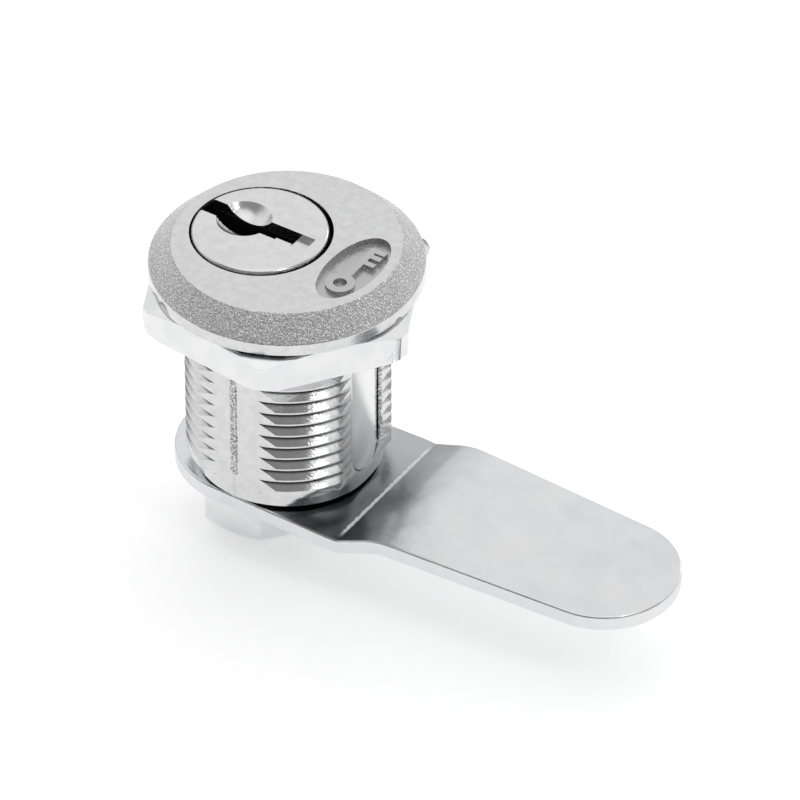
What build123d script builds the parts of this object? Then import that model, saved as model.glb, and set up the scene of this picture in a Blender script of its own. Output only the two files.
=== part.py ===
"""Eccentric pin-tumbler cam lock: threaded barrel, keyed plug, pin stacks, panel nut and joggled cam.

Frame: the origin is on the barrel's axis at the underside of the head, where the panel sits.
+Z runs out through the head, and +X points from the plug towards the pin stacks and along the cam.
All lengths are in millimetres.
"""
from build123d import *
import math
import os

# Head, the round visible end of the housing
HEAD_R = 12.0
HEAD_TOP_R = 10.0
HEAD_H = 3.0
HEAD_RIM_H = 1.1
HEAD_EDGE_R = 0.25

# Threaded barrel with four flats
BARREL_R = 9.0
BARREL_LEN = 20.0
THREAD_PITCH = 1.25
THREAD_DEPTH = 0.65
THREAD_CREST = 0.16
THREAD_END_Z = -18.3
FLAT_D = 8.05
BARREL_ROOT_R = BARREL_R - THREAD_DEPTH
LEAD_CHAMFER = 0.35
FLAT_BITE = 1.0
SEAM_X = -0.35
SEAM_W = 0.5
SEAM_H = 0.14
SEAM_TOP_Z = -0.5
SEAM_LEN = 17.0
SEAM_TAIL_W = 0.16
SEAM_TAIL_H = 0.06

# Plug, set off the barrel's axis away from the pins
PLUG_X = -2.75
PLUG_R = 4.3
PLUG_FIT = 0.05
FLANGE_R = 6.0
FLANGE_GAP = 0.25
FLANGE_OFFSET = 0.12
FACE_Z = 3.2
FACE_EDGE_R = 0.4
SEAT_Z = 0.55
FLANGE_UNDER = 0.05
SHOULDER_Z = -20.3

# Keyway, a straight slot a little to one side of the plug's axis, with a round lead-in dish
KEY_Y = 0.4
KEY_W = 1.85
KEY_END = 4.87
KEY_STOP_DEPTH = 0.5
KEY_BODY_END = 3.2
KEY_BOTTOM_Z = -17.5
WARD_START = 1.7
WARD_DEPTH = 0.25
WARD_W = 0.5
DISH_X = -1.95
DISH_Y = 0.45
DISH_R = 2.45
DISH_DEPTH = 1.25

# Rotation stop: a lug in the head's counterbore runs in an arc slot under the flange
TURN_DEG = 90.0
LUG_AT_DEG = 135.0
LUG_HALF_DEG = 12.0
LUG_PLAY_DEG = 1.0
LUG_IN_R = 4.95
LUG_TOP_Z = 1.15
LUG_SLOT_IN_R = 4.8
LUG_SLOT_TOP_Z = 1.3

# Pin stacks
PIN_COUNT = 5
PIN_FIRST_Z = -3.4
PIN_STEP = 3.0
PIN_R = 1.2
PIN_FIT = 0.05
SHEAR_X = PLUG_X + PLUG_R
KEY_PIN_LENGTHS = (1.95, 2.75, 2.35, 3.15, 2.15)
PIN_SEAT_X = PLUG_X + 0.55
PIN_TIP = 0.75
PIN_TIP_R = 0.45
PIN_HEAD_DOME = 0.12
PIN_EDGE = 0.14
DRIVER_LEN = 2.6
PIN_GAP = 0.05
CHAMBER_END_X = 7.15
SPRING_R = 0.95
SPRING_WIRE_R = 0.13
SPRING_TURNS = 6
SPRING_FIT = 0.02

# Chamber cover, pressed into a slot in the +X flat
SLOT_HALF_W = 2.1
SLOT_TOP_Z = -1.0
SLOT_BOTTOM_Z = -18.5
COVER_GAP = 0.12
COVER_TOP_X = 8.12
COVER_EDGE_X = 7.92
COVER_BOTTOM_X = CHAMBER_END_X + 0.01

# Panel nut
NUT_AF = 23.0
NUT_TOP_Z = -0.15
NUT_BOTTOM_Z = -3.4
NUT_FACE_R = 11.25
NUT_CORNER_R = 13.0
NUT_TOP_SLOPE = 22.0
NUT_LOW_EDGE = (0.45, 0.25)
NUT_TURN = -6.2
NUT_THREAD_FIT = 0.08

# Tail: a double-D seat for the cam and a stud for the nut
CAM_SEAT_R = 3.9
CAM_SEAT_FLAT = 3.0
CAM_SEAT_H = 1.35
CAM_SEAT_FIT = 0.08
STUD_R = 2.95
STUD_PITCH = 1.0
STUD_DEPTH = 0.5
STUD_CREST = 0.12
STUD_END_Z = -28.0

# Cam
CAM_T = 1.5
CAM_HUB_R = 7.75
CAM_WAIST_R = 8.05
CAM_WAIST_X = 9.0
CAM_TIP_R = 6.8
CAM_TIP_X = 39.2
CAM_BEND_X = 10.2
CAM_BEND_RUN = 4.0
CAM_RISE = 1.65
CAM_CREASE_R = 0.4
CAM_CROWN_R = 7.0

# Lock washer and cam nut
WASHER_T = 0.6
WASHER_IN_R = 3.15
WASHER_OUT_R = 4.9
WASHER_TEETH = 10
WASHER_NOTCH = (1.3, 0.8)
CAM_NUT_AF = 10.0
CAM_NUT_H = 5.0
CAM_NUT_EDGE = (0.1, 0.5)
CAM_NUT_FIT = 0.03
CAM_NUT_TURN = 0.9

# Mark recess in the head, with a plain key standing in it
MARK_X = 6.85
MARK_HALF_X = 2.3
MARK_HALF_Y = 4.75
MARK_DEPTH = 0.6
MARK_RELIEF = 0.42
MARK_BOW_R = 1.3
MARK_BOW_HOLE_R = 0.6
MARK_BOW_Y = -2.1
MARK_STEM_W = 0.6
MARK_STEM_END_Y = 3.5
MARK_TOOTH = (1.0, 0.55)
MARK_TOOTH_YS = (1.4, 2.4, 3.2)

# Overlaps: JOIN sinks one solid into the next, CLEAR carries a cut past a surface
JOIN = 0.1
CLEAR = 1.0

PIN_ZS = [PIN_FIRST_Z - PIN_STEP * i for i in range(PIN_COUNT)]
CAM_TOP_Z = SHOULDER_Z
CAM_BOTTOM_Z = CAM_TOP_Z - CAM_T
WASHER_BOTTOM_Z = CAM_BOTTOM_Z - WASHER_T
NUT_LOW_Z = WASHER_BOTTOM_Z - CAM_NUT_H

os.makedirs("parts", exist_ok=True)


def save(part, name):
    """Label one finished piece and write its STEP file."""
    part.label = name
    export_step(part, f"parts/{name}.step")


def x_plane(x):
    """A sketch plane facing +X, with its own x along +Y and its own y along +Z."""
    return Plane(origin=(x, 0, 0), x_dir=(0, 1, 0), z_dir=(1, 0, 0))


def side_plane(x=0.0, y=0.0, z=0.0):
    """A sketch plane facing -Y, with its own x along +X and its own y along +Z."""
    return Plane(origin=(x, y, z), x_dir=(1, 0, 0), z_dir=(0, -1, 0))


def thread_profile(crest_r, depth, pitch, top_z, low_z, crest):
    """Half section of a threaded shaft as points from the axis: ring threads of one pitch."""
    root_r = crest_r - depth
    flank = (pitch - crest) / 2
    count = int((top_z - low_z) / pitch)
    points = [(0, top_z), (crest_r, top_z)]
    for turn in range(count):
        z = top_z - turn * pitch
        points += [(crest_r, z - crest), (root_r, z - crest - flank), (crest_r, z - pitch)]
    points += [(crest_r, low_z), (0, low_z)]
    return points


def make_housing():
    """Die-cast head and barrel with the plug bore, pin chambers and cover slot."""
    with BuildPart() as housing:
        revolve(turned_profile(0, [
            (0, HEAD_H), (HEAD_TOP_R, HEAD_H), (HEAD_R, HEAD_RIM_H), (HEAD_R, 0), (0, 0),
        ]), axis=Axis.Z)
        head_edges = housing.edges().filter_by(GeomType.CIRCLE)
        fillet(head_edges.filter_by(lambda e: e.center().Z > HEAD_RIM_H / 2), HEAD_EDGE_R)
        threads = thread_profile(BARREL_R, THREAD_DEPTH, THREAD_PITCH, 0, THREAD_END_Z, THREAD_CREST)
        revolve(turned_profile(0, threads), axis=Axis.Z)
        revolve(turned_profile(0, [
            (0, THREAD_END_Z), (BARREL_ROOT_R, THREAD_END_Z), (BARREL_ROOT_R, LEAD_CHAMFER - BARREL_LEN),
            (BARREL_ROOT_R - LEAD_CHAMFER, -BARREL_LEN), (0, -BARREL_LEN),
        ]), axis=Axis.Z)
        # four flats, cut below the head only
        with BuildSketch(Plane.XY):
            Circle(BARREL_R + FLAT_BITE)
            Rectangle(2 * FLAT_D, 2 * FLAT_D, mode=Mode.SUBTRACT)
        extrude(amount=-BARREL_LEN, mode=Mode.SUBTRACT)
        # casting seams down the two plain flats: a ridge, then a hairline to the end
        for side in (-1, 1):
            with BuildSketch(Plane.XY.offset(SEAM_TOP_Z)):
                with Locations((SEAM_X, side * (FLAT_D + (SEAM_H - JOIN) / 2))):
                    Rectangle(SEAM_W, SEAM_H + JOIN)
            extrude(amount=-SEAM_LEN)
            with BuildSketch(Plane.XY.offset(SEAM_TOP_Z - SEAM_LEN)):
                with Locations((SEAM_X, side * (FLAT_D + (SEAM_TAIL_H - JOIN) / 2))):
                    Rectangle(SEAM_TAIL_W, SEAM_TAIL_H + JOIN)
            extrude(amount=SEAM_LEN - SEAM_TOP_Z - BARREL_LEN)
        # plug bore and the counterbore for the plug's flange
        with Locations((PLUG_X, 0, -BARREL_LEN / 2)):
            Cylinder(PLUG_R + PLUG_FIT, BARREL_LEN + 4 * CLEAR, mode=Mode.SUBTRACT)
        with BuildSketch(Plane.XY.offset(SEAT_Z)):
            with Locations((PLUG_X + FLANGE_OFFSET, 0)):
                Circle(FLANGE_R + FLANGE_GAP)
        extrude(amount=HEAD_H, mode=Mode.SUBTRACT)
        # stop lug
        lug_out_r = FLANGE_R + FLANGE_GAP + 2 * JOIN
        lug = ring_sector(SEAT_Z - JOIN, LUG_IN_R, lug_out_r, LUG_AT_DEG, LUG_HALF_DEG)
        extrude(lug, amount=LUG_TOP_Z - SEAT_Z + JOIN)
        # slot for the chamber cover
        with BuildSketch(x_plane(CHAMBER_END_X)):
            with Locations((0, (SLOT_TOP_Z + SLOT_BOTTOM_Z) / 2)):
                SlotOverall(SLOT_TOP_Z - SLOT_BOTTOM_Z, 2 * SLOT_HALF_W, rotation=90)
        extrude(amount=BARREL_R - CHAMBER_END_X + CLEAR, mode=Mode.SUBTRACT)
        # pin chambers, from the cover slot into the plug bore
        with BuildSketch(x_plane(SHEAR_X - CLEAR)):
            with Locations(*[(0, z) for z in PIN_ZS]):
                Circle(PIN_R + PIN_FIT)
        extrude(amount=CHAMBER_END_X - SHEAR_X + CLEAR + JOIN, mode=Mode.SUBTRACT)
        # mark recess with a plain key standing in it
        with BuildSketch(Plane.XY.offset(HEAD_H - MARK_DEPTH)):
            with Locations((MARK_X, 0)):
                Ellipse(MARK_HALF_X, MARK_HALF_Y)
        extrude(amount=MARK_DEPTH + CLEAR, mode=Mode.SUBTRACT)
        extrude(mark_relief(HEAD_H - MARK_DEPTH - JOIN), amount=MARK_RELIEF + JOIN)
    save(housing.part, "housing")


def ring_sector(z, in_r, out_r, at_deg, half_deg):
    """A ring sector about the plug's axis, lying at height z."""
    with BuildSketch(Plane((PLUG_X, 0, z))) as sector:
        with BuildLine():
            inner = CenterArc((0, 0), in_r, at_deg - half_deg, 2 * half_deg)
            outer = CenterArc((0, 0), out_r, at_deg - half_deg, 2 * half_deg)
            Line(inner @ 0, outer @ 0)
            Line(inner @ 1, outer @ 1)
        make_face()
    return sector.sketch


def mark_relief(z):
    """A plain key along Y, with a ring bow and three teeth, lying at height z."""
    tooth_x = MARK_X + (MARK_STEM_W + MARK_TOOTH[0] - JOIN) / 2
    with BuildSketch(Plane.XY.offset(z)) as relief:
        with Locations((MARK_X, (MARK_BOW_Y + MARK_STEM_END_Y) / 2)):
            Rectangle(MARK_STEM_W, MARK_STEM_END_Y - MARK_BOW_Y)
        with Locations(*[(tooth_x, y) for y in MARK_TOOTH_YS]):
            Rectangle(*MARK_TOOTH)
        with Locations((MARK_X, MARK_BOW_Y)):
            Circle(MARK_BOW_R)
            Circle(MARK_BOW_HOLE_R, mode=Mode.SUBTRACT)
    return relief.sketch


def make_plug():
    """Keyed plug: flange, body with pin holes, cam seat and threaded stud."""
    plug_axis = Axis((PLUG_X, 0, 0), (0, 0, 1))
    with BuildPart() as plug:
        revolve(turned_profile(PLUG_X, [
            (0, FACE_Z), (FLANGE_R, FACE_Z), (FLANGE_R, SEAT_Z + FLANGE_UNDER),
            (PLUG_R, SEAT_Z + FLANGE_UNDER), (PLUG_R, SHOULDER_Z), (CAM_SEAT_R, SHOULDER_Z),
            (CAM_SEAT_R, SHOULDER_Z - CAM_SEAT_H), (0, SHOULDER_Z - CAM_SEAT_H),
        ]), axis=plug_axis)
        stud_top_z = SHOULDER_Z - CAM_SEAT_H
        stud = thread_profile(STUD_R, STUD_DEPTH, STUD_PITCH, stud_top_z, STUD_END_Z, STUD_CREST)
        revolve(turned_profile(PLUG_X, stud), axis=plug_axis)
        rim = plug.edges().filter_by(GeomType.CIRCLE).group_by(Axis.Z)[-1]
        fillet(rim, FACE_EDGE_R)
        # flats of the cam seat
        with BuildSketch(Plane.XY.offset(SHOULDER_Z)):
            with Locations((PLUG_X, 0)):
                Circle(CAM_SEAT_R + CLEAR)
                Rectangle(2 * (CAM_SEAT_R + CLEAR), 2 * CAM_SEAT_FLAT, mode=Mode.SUBTRACT)
        extrude(amount=-CAM_SEAT_H, mode=Mode.SUBTRACT)
        # keyway through the flange, with a shallow key stop towards the pins
        extrude(key_slot(KEY_END), amount=-KEY_STOP_DEPTH, mode=Mode.SUBTRACT)
        extrude(key_slot(KEY_BODY_END), amount=KEY_BOTTOM_Z - FACE_Z, mode=Mode.SUBTRACT)
        # ward down the keyway's -Y side
        with BuildSketch(Plane.XY.offset(FACE_Z - WARD_DEPTH)):
            with Locations((PLUG_X + (WARD_START + KEY_BODY_END + JOIN) / 2, KEY_Y - KEY_W / 2)):
                Rectangle(KEY_BODY_END + JOIN - WARD_START, 2 * WARD_W)
        extrude(amount=KEY_BOTTOM_Z - FACE_Z + WARD_DEPTH)
        # lead-in dish, part of a ball
        ball_r = (DISH_R ** 2 + DISH_DEPTH ** 2) / (2 * DISH_DEPTH)
        with Locations((PLUG_X + DISH_X, DISH_Y, FACE_Z - DISH_DEPTH + ball_r)):
            Sphere(ball_r, mode=Mode.SUBTRACT)
        # pin holes, flat-seated in the body
        with BuildSketch(x_plane(PIN_SEAT_X)):
            with Locations(*[(0, z) for z in PIN_ZS]):
                Circle(PIN_R + PIN_FIT)
        extrude(amount=PLUG_R + CLEAR, mode=Mode.SUBTRACT)
        # arc slot for the stop lug
        middle = LUG_AT_DEG + TURN_DEG / 2
        half = TURN_DEG / 2 + LUG_HALF_DEG + LUG_PLAY_DEG
        arc_slot = ring_sector(SEAT_Z, LUG_SLOT_IN_R, FLANGE_R + CLEAR, middle, half)
        extrude(arc_slot, amount=LUG_SLOT_TOP_Z - SEAT_Z, mode=Mode.SUBTRACT)
    save(plug.part, "plug")


def key_slot(end):
    """The keyway's outline on the plug's face, open at the -X rim and ending end past the axis."""
    start = -FLANGE_R - CLEAR
    with BuildSketch(Plane.XY.offset(FACE_Z)) as slot:
        with Locations((PLUG_X + (start + end) / 2, KEY_Y)):
            Rectangle(end - start, KEY_W)
    return slot.sketch


def pin_profile(z, points):
    """Half section of a pin, from (x, radius) points, above its own axis at height z."""
    with BuildSketch(side_plane(z=z)) as section:
        with BuildLine():
            Polyline(*points, close=True)
        make_face()
    return section.sketch


def make_key_pin(number, z, length):
    """A brass pin with a pointed tip in the keyway and a domed head at the shear line."""
    tip_x = SHEAR_X - length
    head_x = SHEAR_X - PIN_HEAD_DOME
    with BuildPart() as key_pin:
        revolve(pin_profile(z, [
            (tip_x, 0), (tip_x, PIN_TIP_R), (tip_x + PIN_TIP, PIN_R), (head_x - PIN_EDGE, PIN_R),
            (head_x, PIN_R - PIN_EDGE), (head_x, 0),
        ]), axis=Axis((0, 0, z), (1, 0, 0)))
    save(key_pin.part, f"key_pin_{number}")


def make_driver_pin(number, z):
    """A steel pin that bridges the shear line once the key is out."""
    start = SHEAR_X + PIN_GAP
    end = start + DRIVER_LEN
    with BuildPart() as driver_pin:
        revolve(pin_profile(z, [
            (start, 0), (start, PIN_R - PIN_EDGE), (start + PIN_EDGE, PIN_R), (end - PIN_EDGE, PIN_R),
            (end, PIN_R - PIN_EDGE), (end, 0),
        ]), axis=Axis((0, 0, z), (1, 0, 0)))
    save(driver_pin.part, f"driver_pin_{number}")


def make_pin_spring(number, z):
    """A coil spring between the driver pin and the chamber cover."""
    start = SHEAR_X + PIN_GAP + DRIVER_LEN + SPRING_WIRE_R
    length = CHAMBER_END_X - SPRING_WIRE_R - SPRING_FIT - start
    with BuildPart() as spring:
        with BuildLine() as coil:
            Helix(length / SPRING_TURNS, length, SPRING_R, center=(start, 0, z), direction=(1, 0, 0))
        with BuildSketch(Plane(origin=coil.line @ 0, z_dir=coil.line % 0)):
            Circle(SPRING_WIRE_R)
        sweep(is_frenet=True)
    save(spring.part, f"pin_spring_{number}")


def make_pin_stacks():
    """Five stacks along +X, one below the other."""
    for number, (z, length) in enumerate(zip(PIN_ZS, KEY_PIN_LENGTHS), start=1):
        make_key_pin(number, z, length)
        make_driver_pin(number, z)
        make_pin_spring(number, z)


def make_chamber_cover():
    """Polished strip that closes the pin chambers, slightly crowned across its width."""
    half_w = SLOT_HALF_W - COVER_GAP
    low_z = SLOT_BOTTOM_Z + COVER_GAP
    high_z = SLOT_TOP_Z - COVER_GAP
    with BuildPart() as cover:
        with BuildSketch(Plane.XY.offset(low_z)):
            with BuildLine():
                ThreePointArc((COVER_EDGE_X, -half_w), (COVER_TOP_X, 0), (COVER_EDGE_X, half_w))
                Polyline(
                    (COVER_EDGE_X, half_w), (COVER_BOTTOM_X, half_w),
                    (COVER_BOTTOM_X, -half_w), (COVER_EDGE_X, -half_w),
                )
            make_face()
        extrude(amount=high_z - low_z)
        with BuildSketch(x_plane(CHAMBER_END_X)):
            with Locations((0, (low_z + high_z) / 2)):
                SlotOverall(high_z - low_z, 2 * half_w, rotation=90)
        extrude(amount=BARREL_R - CHAMBER_END_X + CLEAR, mode=Mode.INTERSECT)
    save(cover.part, "chamber_cover")


def hexagon(af, low_z, centre_x, turn):
    """A nut's hexagon, lying at its lower face."""
    with BuildSketch(Plane.XY.offset(low_z)) as outline:
        with Locations((centre_x, 0)):
            RegularPolygon(af / 2, 6, major_radius=False, rotation=turn)
    return outline.sketch


def turned_profile(centre_x, points):
    """Half section of a turned shape, from (radius, z) points, beside a vertical axis at centre_x."""
    with BuildSketch(side_plane(x=centre_x)) as section:
        with BuildLine():
            Polyline(*points, close=True)
        make_face()
    return section.sketch


def make_mounting_nut():
    """Thin hexagon nut that clamps the panel against the head."""
    drop = (NUT_CORNER_R - NUT_FACE_R) * math.tan(math.radians(NUT_TOP_SLOPE))
    edge_r, edge_h = NUT_LOW_EDGE
    with BuildPart() as nut:
        extrude(hexagon(NUT_AF, NUT_BOTTOM_Z, 0, NUT_TURN), amount=NUT_TOP_Z - NUT_BOTTOM_Z)
        trim = turned_profile(0, [
            (0, NUT_BOTTOM_Z), (NUT_CORNER_R - edge_r, NUT_BOTTOM_Z), (NUT_CORNER_R, NUT_BOTTOM_Z + edge_h),
            (NUT_CORNER_R, NUT_TOP_Z - drop), (NUT_FACE_R, NUT_TOP_Z), (0, NUT_TOP_Z),
        ])
        revolve(trim, axis=Axis.Z, mode=Mode.INTERSECT)
        thread = thread_profile(
            BARREL_R + NUT_THREAD_FIT, THREAD_DEPTH, THREAD_PITCH, 0, NUT_BOTTOM_Z - CLEAR, THREAD_CREST,
        )
        revolve(turned_profile(0, thread), axis=Axis.Z, mode=Mode.SUBTRACT)
    save(nut.part, "mounting_nut")


def make_cam():
    """Steel cam with a joggle, round at both ends, held by a double-D hole."""
    low = CAM_BOTTOM_Z
    high = low + CAM_T
    run_end = CAM_BEND_X + CAM_BEND_RUN
    start = PLUG_X - CAM_HUB_R - CLEAR
    reach = CAM_TIP_X + CLEAR
    half_w = CAM_WAIST_R + CLEAR
    with BuildPart() as cam:
        with BuildSketch(side_plane(y=-half_w)) as section:
            with BuildLine():
                Polyline(
                    (start, low), (CAM_BEND_X, low), (run_end, low + CAM_RISE), (reach, low + CAM_RISE),
                    (reach, high + CAM_RISE), (run_end, high + CAM_RISE), (CAM_BEND_X, high),
                    (start, high), close=True,
                )
            make_face()
        extrude(section.sketch, amount=-2 * half_w)
        # the crease bends up tightly, and the crown after it is gentle
        bends = cam.edges().filter_by(Axis.Y)
        crease = bends.filter_by(lambda e: abs(e.center().X - CAM_BEND_X) < JOIN)
        fillet(crease.sort_by(Axis.Z)[-1], CAM_CREASE_R)
        fillet(crease.sort_by(Axis.Z)[0], CAM_CREASE_R + CAM_T)
        crown = cam.edges().filter_by(Axis.Y).filter_by(lambda e: abs(e.center().X - run_end) < JOIN)
        fillet(crown.sort_by(Axis.Z)[-1], CAM_CROWN_R)
        fillet(crown.sort_by(Axis.Z)[0], CAM_CROWN_R - CAM_T)
        with BuildSketch(Plane.XY.offset(low - CLEAR)) as outline:
            with Locations((PLUG_X, 0)):
                Circle(CAM_HUB_R)
            with Locations((CAM_WAIST_X, 0)):
                Circle(CAM_WAIST_R)
            with Locations((CAM_TIP_X - CAM_TIP_R, 0)):
                Circle(CAM_TIP_R)
            make_hull()
        extrude(outline.sketch, amount=CAM_T + CAM_RISE + 2 * CLEAR, mode=Mode.INTERSECT)
        with BuildSketch(Plane.XY.offset(low - CLEAR)) as seat:
            with Locations((PLUG_X, 0)):
                Circle(CAM_SEAT_R + CAM_SEAT_FIT)
                Rectangle(3 * CAM_SEAT_R, 2 * (CAM_SEAT_FLAT + CAM_SEAT_FIT), mode=Mode.INTERSECT)
        extrude(seat.sketch, amount=CAM_T + 2 * CLEAR, mode=Mode.SUBTRACT)
    save(cam.part, "cam")


def make_lock_washer():
    """Toothed lock washer between the cam and its nut."""
    with BuildPart() as washer:
        with BuildSketch(Plane.XY.offset(WASHER_BOTTOM_Z)):
            with Locations((PLUG_X, 0)):
                Circle(WASHER_OUT_R)
                Circle(WASHER_IN_R, mode=Mode.SUBTRACT)
                with PolarLocations(WASHER_OUT_R, WASHER_TEETH):
                    Rectangle(*WASHER_NOTCH, mode=Mode.SUBTRACT)
        extrude(amount=WASHER_T)
    save(washer.part, "lock_washer")


def make_cam_nut():
    """Hexagon nut that holds the cam on the plug's stud."""
    corner_r = CAM_NUT_AF / math.sqrt(3)
    inset, edge_h = CAM_NUT_EDGE
    face_r = CAM_NUT_AF / 2 - inset
    with BuildPart() as nut:
        extrude(hexagon(CAM_NUT_AF, NUT_LOW_Z, PLUG_X, CAM_NUT_TURN), amount=CAM_NUT_H)
        trim = turned_profile(PLUG_X, [
            (0, NUT_LOW_Z), (face_r, NUT_LOW_Z), (corner_r, NUT_LOW_Z + edge_h),
            (corner_r, WASHER_BOTTOM_Z - edge_h), (face_r, WASHER_BOTTOM_Z), (0, WASHER_BOTTOM_Z),
        ])
        revolve(trim, axis=Axis((PLUG_X, 0, 0), (0, 0, 1)), mode=Mode.INTERSECT)
        with Locations((PLUG_X, 0, (WASHER_BOTTOM_Z + NUT_LOW_Z) / 2)):
            Cylinder(STUD_R + CAM_NUT_FIT, CAM_NUT_H + 2 * CLEAR, mode=Mode.SUBTRACT)
    save(nut.part, "cam_nut")


make_housing()
make_plug()
make_pin_stacks()
make_chamber_cover()
make_mounting_nut()
make_cam()
make_lock_washer()
make_cam_nut()
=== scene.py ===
"""Cam lock: plated die-cast housing and plug, bright nuts and a zinc-plated steel cam.

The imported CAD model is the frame. Every length here is in metres unless its name says mm.
"""
import math
import random

import bpy
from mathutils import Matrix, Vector


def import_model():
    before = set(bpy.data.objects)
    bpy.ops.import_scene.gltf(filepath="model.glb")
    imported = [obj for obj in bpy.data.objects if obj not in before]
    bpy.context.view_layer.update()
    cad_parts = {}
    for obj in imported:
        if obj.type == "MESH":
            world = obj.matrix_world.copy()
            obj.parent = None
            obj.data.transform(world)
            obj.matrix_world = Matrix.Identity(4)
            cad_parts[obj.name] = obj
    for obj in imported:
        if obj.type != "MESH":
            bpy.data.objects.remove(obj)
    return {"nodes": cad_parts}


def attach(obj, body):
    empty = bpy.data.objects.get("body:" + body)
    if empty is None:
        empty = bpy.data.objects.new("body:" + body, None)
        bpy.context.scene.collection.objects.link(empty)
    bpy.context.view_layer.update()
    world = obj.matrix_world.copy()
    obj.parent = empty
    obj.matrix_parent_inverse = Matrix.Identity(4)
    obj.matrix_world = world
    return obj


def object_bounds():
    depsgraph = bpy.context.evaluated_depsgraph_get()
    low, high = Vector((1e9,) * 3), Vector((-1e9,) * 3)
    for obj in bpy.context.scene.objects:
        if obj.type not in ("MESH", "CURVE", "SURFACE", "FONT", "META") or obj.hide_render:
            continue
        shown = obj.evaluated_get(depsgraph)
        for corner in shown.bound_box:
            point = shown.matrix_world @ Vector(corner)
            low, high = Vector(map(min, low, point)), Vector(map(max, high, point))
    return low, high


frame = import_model()
CAD_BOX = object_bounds()
NODES = frame["nodes"]

MM = 0.001

# Camera: a long lens, so that upright lines stay upright
CAMERA_AZIMUTH = 33.0
CAMERA_ELEVATION = 39.0
CAMERA_DISTANCE = 0.75
CAMERA_TARGET = Vector((0.01163, -0.00005, -0.00938))
FRAME_WIDTH = 0.0690

# Studio: levels of the surroundings, and the dark side around the camera, in degrees
SKY_LEVEL = 0.95
ZENITH_LEVEL = 1.12
HORIZON_LEVEL = 0.24
DARK_LEVEL = 0.30
DARK_HALF_DEG = (62.0, 112.0)
DARK_TOP_DEG = (57.0, 62.0)
HORIZON_HEIGHT = (0.03, 0.26)
ZENITH_HEIGHT = (0.86, 0.97)
FLOOR_GLOW = 0.36
LIGHT_TARGET = (0.01, 0.0, -0.01)

# Lamps, as (name, place, target, side of the square, power in watts)
LAMPS = (
    ("side", (0.55, -0.05, 0.40), LIGHT_TARGET, 0.20, 0.10),
    ("sparkle", (0.37, -0.12, 0.46), (0.0, 0.0, 0.0), 0.10, 0.20),
    ("rear", (0.10, 0.60, 0.16), LIGHT_TARGET, 0.12, 0.12),
)

# Casting flash: centre and outward direction in mm, across the seam, as (name, x, y, out_x, out_y, low_z)
FLASH_TOP_Z = -3.6
FLASH_LINES = (
    ("seam_flash_front", -0.35, -8.17, 0.0, -1.0, -17.4),
    ("seam_flash_back", -0.35, 8.17, 0.0, 1.0, -17.4),
    ("slot_burr", 8.04, 2.32, 1.0, 0.0, -16.6),
)
FLASH_HALF_W = 0.26
FLASH_HEIGHT = 0.17
FLASH_STEP = 0.09
FLASH_COLUMNS = 6
FLASH_DRIFT = 0.06
FLASH_ROOT = 0.04
FLASH_THICKNESS = 0.1

# Edge rounding on the CAD nodes, in mm. From WIDE_EDGE_MM up it is not held back by short edges:
# the mounting nut stays below that, because its corners would grow spikes.
EDGE_WIDTHS = {
    "housing": 0.05, "plug": 0.06, "mounting_nut": 0.08, "cam_nut": 0.10, "cam": 0.22,
    "chamber_cover": 0.08, "lock_washer": 0.05,
}

WIDE_EDGE_MM = 0.1
EDGE_ANGLE_DEG = 30.0
EDGE_SEGMENTS = 3
FLAT_ANGLE_DEG = 0.4
WELD_MM = 0.002

# Places on the CAD model, in mm, where the finish changes and where shade or highlight is painted
HEAD_TOP_Z = 3.0
HEAD_RIM_Z = 1.1
HEAD_TOP_R = 10.0
MARK_LOW_X = 4.2
THREAD_ROOT_R = 8.35
THREAD_END_Z = -18.3
FLAT_Y = 8.05
CREASE_X = 10.2
PLUG_X = -2.75
FLANGE_R = 6.0
POCKET_R = 6.45
KEY_Y = 0.4
KEY_HALF_W = 0.925

# Stage
FLOOR_HALF = 3.0
FLOOR_GAP = 0.00002


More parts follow.
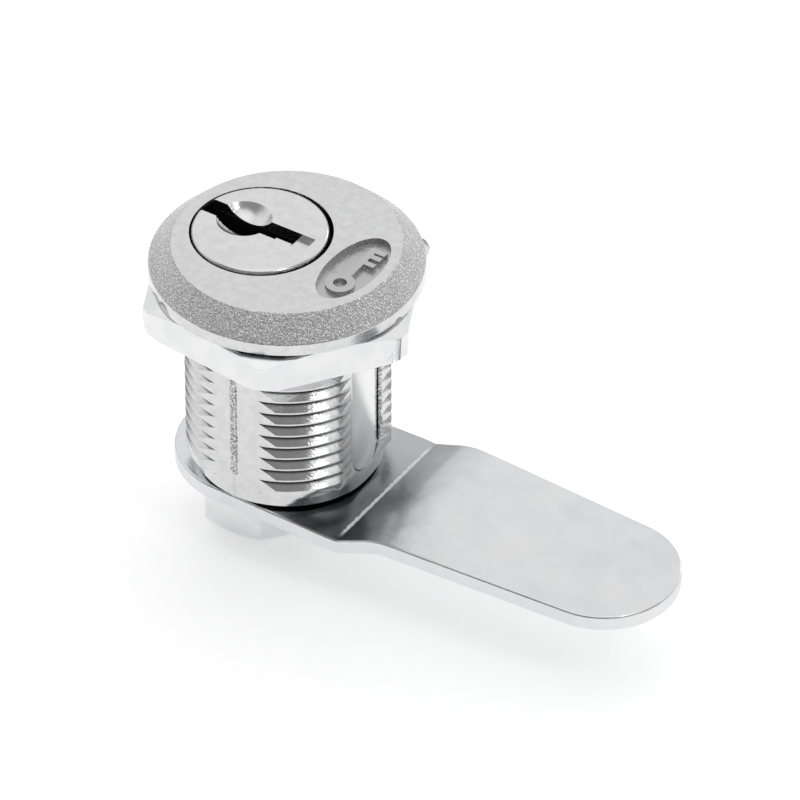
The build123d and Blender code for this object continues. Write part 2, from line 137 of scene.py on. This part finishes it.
class Shader:
    """A material's node tree with short calls for the nodes used here."""

    def __init__(self, name, metallic=1.0):
        self.material = bpy.data.materials.new(name)
        self.material.use_nodes = True
        self.tree = self.material.node_tree
        self.bsdf = self.tree.nodes["Principled BSDF"]
        self.bsdf.inputs["Metallic"].default_value = metallic
        self.position = self.node("ShaderNodeTexCoord").outputs["Object"]
        self.mm = self.vector_math("SCALE", self.position, scale=1.0 / MM)

    def node(self, kind, **values):
        made = self.tree.nodes.new(kind)
        for key, value in values.items():
            setattr(made, key, value)
        return made

    def feed(self, socket, value):
        if hasattr(value, "is_output"):
            self.tree.links.new(value, socket)
        else:
            socket.default_value = value

    def vector_math(self, operation, a, b=None, scale=None):
        made = self.node("ShaderNodeVectorMath", operation=operation)
        self.feed(made.inputs[0], a)
        if b is not None:
            self.feed(made.inputs[1], b)
        if scale is not None:
            made.inputs["Scale"].default_value = scale
        return made.outputs[0]

    def math(self, operation, a, b=0.0):
        made = self.node("ShaderNodeMath", operation=operation)
        self.feed(made.inputs[0], a)
        self.feed(made.inputs[1], b)
        return made.outputs[0]

    def length_xy(self, vector):
        made = self.node("ShaderNodeVectorMath", operation="LENGTH")
        self.feed(made.inputs[0], self.vector_math("MULTIPLY", vector, (1.0, 1.0, 0.0)))
        return made.outputs["Value"]

    def stretched(self, x, y, z):
        return self.vector_math("MULTIPLY", self.mm, (x, y, z))

    def axes(self, vector=None):
        made = self.node("ShaderNodeSeparateXYZ")
        self.feed(made.inputs[0], vector or self.mm)
        return made.outputs

    def normal_axes(self):
        return self.axes(self.node("ShaderNodeNewGeometry").outputs["Normal"])

    def noise(self, scale, detail=2.0, roughness=0.5, vector=None, distortion=0.0):
        made = self.node("ShaderNodeTexNoise")
        self.feed(made.inputs["Vector"], vector or self.mm)
        made.inputs["Scale"].default_value = scale
        made.inputs["Detail"].default_value = detail
        made.inputs["Roughness"].default_value = roughness
        made.inputs["Distortion"].default_value = distortion
        return made.outputs["Fac"]

    def cells(self, scale):
        made = self.node("ShaderNodeTexVoronoi")
        self.feed(made.inputs["Vector"], self.mm)
        made.inputs["Scale"].default_value = scale
        return made.outputs["Distance"]

    def span(self, value, low, high, out_low=0.0, out_high=1.0):
        made = self.node("ShaderNodeMapRange", interpolation_type="SMOOTHSTEP")
        self.feed(made.inputs["Value"], value)
        made.inputs["From Min"].default_value = low
        made.inputs["From Max"].default_value = high
        made.inputs["To Min"].default_value = out_low
        made.inputs["To Max"].default_value = out_high
        return made.outputs["Result"]

    def mix(self, factor, a, b):
        made = self.node("ShaderNodeMix", data_type="RGBA")
        self.feed(made.inputs["Factor"], factor)
        self.feed(made.inputs[6], a)
        self.feed(made.inputs[7], b)
        return made.outputs[2]

    def bump(self, height, distance_mm, strength=1.0, normal=None):
        made = self.node("ShaderNodeBump")
        self.feed(made.inputs["Height"], height)
        self.feed(made.inputs["Strength"], strength)
        made.inputs["Distance"].default_value = distance_mm * MM
        if normal is not None:
            self.feed(made.inputs["Normal"], normal)
        return made.outputs["Normal"]

    def surface(self, colour, roughness, normal=None):
        self.feed(self.bsdf.inputs["Base Color"], colour)
        self.feed(self.bsdf.inputs["Roughness"], roughness)
        if normal is not None:
            self.feed(self.bsdf.inputs["Normal"], normal)
        return self.material


def grey(value, tint=(0.0, 0.0, 0.0)):
    return tuple(value + t for t in tint) + (1.0,)


def cast_plate():
    """Plated zinc die casting: pitted bevel, satin top, polished rim, smoother barrel, with painted shade
    in the gap round the plug, in the mark's recess and in the thread roots, and painted glints in the
    bevel's speckle.
    """
    s = Shader("cast_plate")
    x, y, z = s.axes()
    up = s.normal_axes()[2]
    above_rim = s.span(z, HEAD_RIM_Z - 0.10, HEAD_RIM_Z + 0.15)
    bevel = s.math("MULTIPLY", above_rim, s.span(up, 0.97, 0.9))
    barrel = s.span(z, 0.0, -0.1)
    pits = s.span(s.cells(2.6), 0.10, 0.50)
    grain = s.noise(4.6, 4.0, 0.65)
    fine = s.noise(12.0, 3.0, 0.6)
    coarse = s.math("ADD", s.math("MULTIPLY", grain, 0.7), s.math("MULTIPLY", pits, 0.3))
    height = s.math("ADD", coarse, s.math("MULTIPLY", fine, 0.35))
    strength = s.math("ADD", s.math("MULTIPLY", bevel, 1.3), s.math("MULTIPLY", above_rim, 0.20))
    strength = s.math("ADD", strength, s.math("MULTIPLY", barrel, 0.08))
    strength = s.math("ADD", strength, 0.02)
    normal = s.bump(height, 0.09, strength)
    streak = s.noise(2.2, 2.0, 0.5, s.stretched(1.6, 1.6, 0.12))
    normal = s.bump(streak, 0.03, 0.2, normal)
    tone = s.span(s.noise(1.3, 3.0, 0.6), 0.3, 0.7)
    colour = s.mix(tone, grey(0.64, (0.0, 0.0, 0.004)), grey(0.71, (0.0, 0.0, 0.003)))
    # The bevel's speckle is partly dark grain and partly painted glints in its bright specks.
    grain_and_glints = s.mix(s.span(s.noise(7.0, 2.0, 0.5), 0.42, 0.70), grey(0.40), grey(0.86))
    colour = s.mix(s.math("MULTIPLY", bevel, 0.85), colour, grain_and_glints)
    # Painted shade: the gap between the plug and the housing's pocket is coloured near-black.
    from_plug = s.length_xy(s.vector_math("SUBTRACT", s.mm, (PLUG_X, 0.0, 0.0)))
    pocket_shade = s.math("MULTIPLY", s.span(from_plug, POCKET_R, POCKET_R - 0.05), s.span(z, 2.85, 2.5))
    pocket_shade = s.math("MULTIPLY", pocket_shade, s.span(z, 0.3, 0.5))
    colour = s.mix(pocket_shade, colour, grey(0.06))
    from_axis = s.length_xy(s.mm)
    inside = s.span(from_axis, HEAD_TOP_R - 0.3, HEAD_TOP_R - 0.5)
    # Painted shade: the floor and walls of the mark's recess are coloured darker.
    mark_recess_shade = s.math("MULTIPLY", inside, s.span(x, MARK_LOW_X, MARK_LOW_X + 0.2))
    mark_recess_shade = s.math("MULTIPLY", mark_recess_shade, s.span(z, HEAD_TOP_Z - 0.04, HEAD_TOP_Z - 0.22))
    colour = s.mix(s.math("MULTIPLY", mark_recess_shade, above_rim), colour, grey(0.50))
    # Painted shade: the thread roots on the barrel are coloured near-black.
    root_shade = s.math("MULTIPLY", s.span(from_axis, THREAD_ROOT_R + 0.24, THREAD_ROOT_R + 0.05), barrel)
    root_shade = s.math("MULTIPLY", root_shade, s.span(s.math("ABSOLUTE", y), FLAT_Y, FLAT_Y - 0.05))
    root_shade = s.math("MULTIPLY", root_shade, s.span(s.math("ABSOLUTE", x), FLAT_Y - 0.15, FLAT_Y - 0.35))
    root_shade = s.math("MULTIPLY", root_shade, s.span(z, THREAD_END_Z - 0.2, THREAD_END_Z))
    colour = s.mix(root_shade, colour, grey(0.10))
    satin = s.math("MULTIPLY", above_rim, s.math("SUBTRACT", 1.0, bevel))
    roughness = s.math("ADD", s.span(grain, 0.3, 0.7, 0.09, 0.17), s.math("MULTIPLY", satin, 0.12))
    return s.surface(colour, roughness, normal)


def plug_plate():
    """The plug's plated face, finer than the head, with small dents, and painted shade in the keyway and
    in the gap round the flange.
    """
    s = Shader("plug_plate")
    axes = s.axes()
    y, z = axes[1], axes[2]
    dents = s.span(s.cells(0.8), 0.0, 0.10)
    fine = s.noise(7.0, 3.0, 0.6)
    height = s.math("ADD", s.math("MULTIPLY", fine, 0.4), s.math("MULTIPLY", dents, 0.8))
    normal = s.bump(height, 0.03, 0.3)
    tone = s.span(s.noise(1.1, 3.0, 0.6), 0.3, 0.7)
    colour = s.mix(tone, grey(0.68), grey(0.75, (0.0, 0.0, 0.004)))
    # Painted shade: the inside of the keyway and the gap round the flange are coloured near-black.
    aside = s.math("ABSOLUTE", s.math("SUBTRACT", y, KEY_Y))
    keyway = s.span(aside, KEY_HALF_W + 0.03, KEY_HALF_W + 0.01)
    keyway = s.math("MULTIPLY", keyway, s.span(z, 2.45, 2.0))
    keyway = s.math("MULTIPLY", keyway, s.span(z, -19.0, -18.0))
    flange_gap_shade = s.math("MULTIPLY", s.span(z, 2.95, 2.7), s.span(z, 0.3, 0.5))
    from_axis = s.length_xy(s.vector_math("SUBTRACT", s.mm, (PLUG_X, 0.0, 0.0)))
    flange_gap_shade = s.math("MULTIPLY", flange_gap_shade, s.span(from_axis, FLANGE_R - 0.10, FLANGE_R - 0.03))
    dark = s.math("MAXIMUM", keyway, flange_gap_shade)
    colour = s.mix(dark, colour, grey(0.05))
    roughness = s.math("ADD", s.span(fine, 0.3, 0.7, 0.18, 0.27), s.math("MULTIPLY", dark, 0.3))
    return s.surface(colour, roughness, normal)


def nut_zinc():
    """Bright zinc plate with soft waviness."""
    s = Shader("nut_zinc")
    wave = s.noise(0.55, 2.0, 0.5)
    fine = s.noise(7.0, 3.0, 0.6)
    normal = s.bump(wave, 0.12, 0.35)
    normal = s.bump(fine, 0.02, 0.2, normal)
    colour = s.mix(s.span(wave, 0.3, 0.7), grey(0.76, (0.0, 0.003, 0.01)), grey(0.82, (0.0, 0.0, 0.005)))
    return s.surface(colour, s.span(fine, 0.3, 0.7, 0.08, 0.15), normal)


def cover_polish():
    """Polished strip."""
    s = Shader("cover_polish")
    streak = s.noise(3.0, 2.0, 0.5, s.stretched(1.0, 1.0, 0.08))
    normal = s.bump(streak, 0.01, 0.2)
    return s.surface(s.mix(streak, grey(0.80), grey(0.86)), 0.26, normal)


def cam_zinc():
    """Blue-white zinc plate on rolled sheet, with a faint random tint and sheared edges, painted shade
    and dark reflection near the barrel, and a painted highlight along the crease.
    """
    s = Shader("cam_zinc")
    up = s.normal_axes()[2]
    edge = s.span(s.math("ABSOLUTE", up), 0.75, 0.35)
    cloud = s.span(s.noise(0.35, 4.0, 0.6, distortion=0.4), 0.32, 0.68)
    tint = s.span(s.noise(0.16, 3.0, 0.55, s.vector_math("ADD", s.mm, (31.0, 7.0, 3.0))), 0.40, 0.62)
    colour = s.mix(cloud, grey(0.70, (-0.015, 0.006, 0.014)), grey(0.75, (-0.010, 0.005, 0.010)))
    colour = s.mix(s.math("MULTIPLY", tint, 0.45), colour, (0.78, 0.76, 0.77, 1.0))
    axes = s.axes()
    x, y = axes[0], axes[1]
    # Painted shade and painted dark reflection of the barrel on the top face around the crease, stronger
    # at the front.
    patch = s.math("MULTIPLY", s.math("SUBTRACT", s.noise(0.22, 3.0, 0.6), 0.5), 5.0)
    along = s.math("ADD", x, patch)
    barrel_shade = s.math("MULTIPLY", s.span(along, 3.0, 7.0), s.span(along, 17.5, 10.5))
    barrel_shade = s.math("MULTIPLY", barrel_shade, s.span(y, 6.5, -3.0, 0.45, 0.92))
    barrel_shade = s.math("MULTIPLY", barrel_shade, s.span(up, 0.6, 0.9))
    colour = s.mix(barrel_shade, colour, (0.13, 0.15, 0.16, 1.0))
    fine = s.noise(4.2, 4.0, 0.65)
    specks = s.span(s.cells(1.7), 0.0, 0.16)
    shear = s.noise(3.0, 3.0, 0.6, s.stretched(1.0, 1.0, 0.25))
    height = s.math("ADD", s.math("MULTIPLY", fine, 0.6), s.math("MULTIPLY", specks, 0.3))
    normal = s.bump(height, 0.05, 0.55)
    normal = s.bump(s.math("MULTIPLY", shear, edge), 0.12, 0.6, normal)
    roughness = s.math("ADD", s.span(cloud, 0.0, 1.0, 0.16, 0.20), s.math("MULTIPLY", fine, 0.06))
    # Painted highlight: a bright, less metallic line along the crease.
    wander = s.math("MULTIPLY", s.math("SUBTRACT", s.noise(2.4, 3.0, 0.6), 0.5), 0.35)
    from_crease = s.math("ABSOLUTE", s.math("SUBTRACT", s.math("ADD", x, wander), CREASE_X - 0.05))
    crease_highlight = s.math("MULTIPLY", s.span(from_crease, 0.24, 0.10), s.span(up, 0.5, 0.8))
    crease_highlight = s.math("MULTIPLY", crease_highlight, s.span(s.math("ABSOLUTE", y), 7.6, 6.2))
    colour = s.mix(crease_highlight, colour, grey(0.92))
    s.feed(s.bsdf.inputs["Metallic"], s.math("SUBTRACT", 1.0, s.math("MULTIPLY", crease_highlight, 0.85)))
    roughness = s.math("ADD", roughness, s.math("MULTIPLY", crease_highlight, 0.2))
    return s.surface(colour, roughness, normal)


def small_metal(name, low, high, roughness, scale=6.0):
    """Turned, drawn or stamped metal for the small parts."""
    s = Shader(name)
    fine = s.noise(scale, 3.0, 0.6)
    normal = s.bump(fine, 0.02, 0.25)
    colour = s.mix(s.span(fine, 0.3, 0.7), low, high)
    return s.surface(colour, s.span(fine, 0.3, 0.7, roughness, roughness + 0.1), normal)


def soften_edges(node, width_mm):
    """Round a CAD node's sharp edges a little, and shade flat faces flat and round ones smooth."""
    for polygon in node.data.polygons:
        polygon.use_smooth = True
    weld = node.modifiers.new("weld", "WELD")
    weld.merge_threshold = WELD_MM * MM
    if width_mm >= WIDE_EDGE_MM:
        flat = node.modifiers.new("flat", "DECIMATE")
        flat.decimate_type = "DISSOLVE"
        flat.angle_limit = math.radians(FLAT_ANGLE_DEG)
    if width_mm:
        bevel = node.modifiers.new("edge", "BEVEL")
        bevel.width = width_mm * MM
        bevel.segments = EDGE_SEGMENTS
        bevel.limit_method = "ANGLE"
        bevel.angle_limit = math.radians(EDGE_ANGLE_DEG)
        bevel.use_clamp_overlap = width_mm < WIDE_EDGE_MM
    weighted = node.modifiers.new("normals", "WEIGHTED_NORMAL")
    weighted.mode = "FACE_AREA"
    weighted.weight = 100
    weighted.keep_sharp = True


def paint(node, material):
    node.data.materials.clear()
    node.data.materials.append(material)


def dress():
    """Give every CAD node its material, and add the casting flash."""
    zinc = nut_zinc()
    brass = small_metal("pin_brass", (0.72, 0.52, 0.22, 1.0), (0.82, 0.62, 0.30, 1.0), 0.22)
    steel = small_metal("pin_steel", grey(0.58), grey(0.68), 0.22)
    wire = small_metal("spring_steel", grey(0.50), grey(0.60), 0.28)
    washer = small_metal("washer_steel", grey(0.55), grey(0.66), 0.32)
    looks = {
        "housing": cast_plate(),
        "plug": plug_plate(),
        "mounting_nut": zinc,
        "cam_nut": zinc,
        "cam": cam_zinc(),
        "chamber_cover": cover_polish(),
        "lock_washer": washer,
    }
    for name, node in NODES.items():
        if name.startswith("key_pin"):
            looks[name] = brass
        elif name.startswith("driver_pin"):
            looks[name] = steel
        elif name.startswith("pin_spring"):
            looks[name] = wire
        paint(node, looks[name])
    for line in FLASH_LINES:
        flash_line(*line, looks["housing"])


def flash_line(name, x, y, out_x, out_y, low_z, material):
    """A rough ridge of casting flash standing on the barrel, closed underneath."""
    rng = random.Random(name)
    rows = int((FLASH_TOP_Z - low_z) / FLASH_STEP)
    verts, faces = [], []
    for row in range(rows + 1):
        z = FLASH_TOP_Z - row * FLASH_STEP
        drift = rng.uniform(-FLASH_DRIFT, FLASH_DRIFT)
        end = 0.0 if row in (0, rows) else 1.0
        for column in range(FLASH_COLUMNS + 1):
            share = column / FLASH_COLUMNS * 2.0 - 1.0
            lump = end * (1.0 - abs(share) ** 3) * rng.uniform(0.1, 1.0) * FLASH_HEIGHT
            across = share * FLASH_HALF_W * rng.uniform(0.8, 1.1) + drift
            rise = lump - FLASH_ROOT
            verts.append((
                (x + out_x * rise + abs(out_y) * across) * MM,
                (y + out_y * rise + abs(out_x) * across) * MM,
                (z + rng.uniform(-0.3, 0.3) * FLASH_STEP) * MM,
            ))
    width = FLASH_COLUMNS + 1
    for row in range(rows):
        for column in range(FLASH_COLUMNS):
            first = row * width + column
            faces.append((first, first + 1, first + width + 1, first + width))
    mesh = bpy.data.meshes.new(name)
    mesh.from_pydata(verts, [], faces)
    mesh.materials.append(material)
    made = bpy.data.objects.new(name, mesh)
    bpy.context.scene.collection.objects.link(made)
    thick = made.modifiers.new("thickness", "SOLIDIFY")
    thick.thickness = FLASH_THICKNESS * MM
    thick.offset = 0.0
    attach(made, "housing")


def area_light(name, place, target, size, power):
    data = bpy.data.lights.new(name, "AREA")
    data.energy = power
    data.size = size
    lamp = bpy.data.objects.new(name, data)
    bpy.context.scene.collection.objects.link(lamp)
    lamp.location = place
    lamp.rotation_euler = (Vector(target) - Vector(place)).to_track_quat("-Z", "Y").to_euler()


def world():
    """A white studio: darker at the horizon, and dark around the camera up to a high soft box."""
    made = bpy.data.worlds.new("studio")
    bpy.context.scene.world = made
    made.use_nodes = True
    tree = made.node_tree
    direction = tree.nodes.new("ShaderNodeTexCoord").outputs["Generated"]
    split = tree.nodes.new("ShaderNodeSeparateXYZ")
    tree.links.new(direction, split.inputs[0])
    height = split.outputs["Z"]
    level = world_span(tree, height, *HORIZON_HEIGHT, HORIZON_LEVEL, SKY_LEVEL)
    zenith = world_span(tree, height, *ZENITH_HEIGHT, 0.0, ZENITH_LEVEL - SKY_LEVEL)
    level = world_math(tree, "ADD", level, zenith)
    flat = world_vector(tree, "MULTIPLY", direction, (1.0, 1.0, 0.0)).outputs[0]
    flat = world_vector(tree, "NORMALIZE", flat).outputs[0]
    azimuth = math.radians(CAMERA_AZIMUTH)
    toward = (math.sin(azimuth), -math.cos(azimuth), 0.0)
    facing = world_vector(tree, "DOT_PRODUCT", flat, toward).outputs["Value"]
    inner, outer = (math.cos(math.radians(angle)) for angle in DARK_HALF_DEG)
    low, high = (math.sin(math.radians(angle)) for angle in DARK_TOP_DEG)
    side = world_span(tree, facing, outer, inner, 0.0, 1.0)
    below = world_span(tree, height, low, high, 1.0 - DARK_LEVEL, 0.0)
    shade = world_math(tree, "MULTIPLY", side, below)
    light = world_math(tree, "SUBTRACT", 1.0, shade)
    background = tree.nodes["Background"]
    background.inputs["Color"].default_value = (1.0, 1.0, 1.0, 1.0)
    tree.links.new(world_math(tree, "MULTIPLY", level, light), background.inputs["Strength"])


def world_vector(tree, operation, value, second=None):
    made = tree.nodes.new("ShaderNodeVectorMath")
    made.operation = operation
    tree.links.new(value, made.inputs[0])
    if second is not None:
        made.inputs[1].default_value = second
    return made


def world_math(tree, operation, *values):
    made = tree.nodes.new("ShaderNodeMath")
    made.operation = operation
    for socket, value in zip(made.inputs, values):
        if hasattr(value, "is_output"):
            tree.links.new(value, socket)
        else:
            socket.default_value = value
    return made.outputs[0]


def world_span(tree, value, low, high, out_low, out_high):
    made = tree.nodes.new("ShaderNodeMapRange")
    made.interpolation_type = "SMOOTHSTEP"
    tree.links.new(value, made.inputs["Value"])
    made.inputs["From Min"].default_value = low
    made.inputs["From Max"].default_value = high
    made.inputs["To Min"].default_value = out_low
    made.inputs["To Max"].default_value = out_high
    return made.outputs["Result"]


def stage():
    """A plain pale floor under the cam nut's stud."""
    low = CAD_BOX[0][2] - FLOOR_GAP
    mesh = bpy.data.meshes.new("floor")
    corners = [(-FLOOR_HALF, -FLOOR_HALF, low), (FLOOR_HALF, -FLOOR_HALF, low),
               (FLOOR_HALF, FLOOR_HALF, low), (-FLOOR_HALF, FLOOR_HALF, low)]
    mesh.from_pydata(corners, [], [(0, 1, 2, 3)])
    floor = bpy.data.objects.new("floor", mesh)
    bpy.context.scene.collection.objects.link(floor)
    s = Shader("floor_paper", metallic=0.0)
    s.bsdf.inputs["Emission Color"].default_value = (1.0, 1.0, 1.0, 1.0)
    s.bsdf.inputs["Emission Strength"].default_value = FLOOR_GLOW
    floor.data.materials.append(s.surface((0.93, 0.93, 0.93, 1.0), 0.6))


def camera():
    data = bpy.data.cameras.new("camera")
    data.sensor_width = 36.0
    data.lens = data.sensor_width * CAMERA_DISTANCE / FRAME_WIDTH
    made = bpy.data.objects.new("camera", data)
    bpy.context.scene.collection.objects.link(made)
    azimuth = math.radians(CAMERA_AZIMUTH)
    elevation = math.radians(CAMERA_ELEVATION)
    back = Vector((
        math.sin(azimuth) * math.cos(elevation),
        -math.cos(azimuth) * math.cos(elevation),
        math.sin(elevation),
    ))
    made.location = CAMERA_TARGET + back * CAMERA_DISTANCE
    made.rotation_euler = (-back).to_track_quat("-Z", "Y").to_euler()
    bpy.context.scene.camera = made


camera()
dress()
for name, node in NODES.items():
    soften_edges(node, EDGE_WIDTHS.get(name, 0.0))
world()
for lamp in LAMPS:
    area_light(*lamp)
stage()
bpy.context.scene.view_settings.view_transform = "Standard"
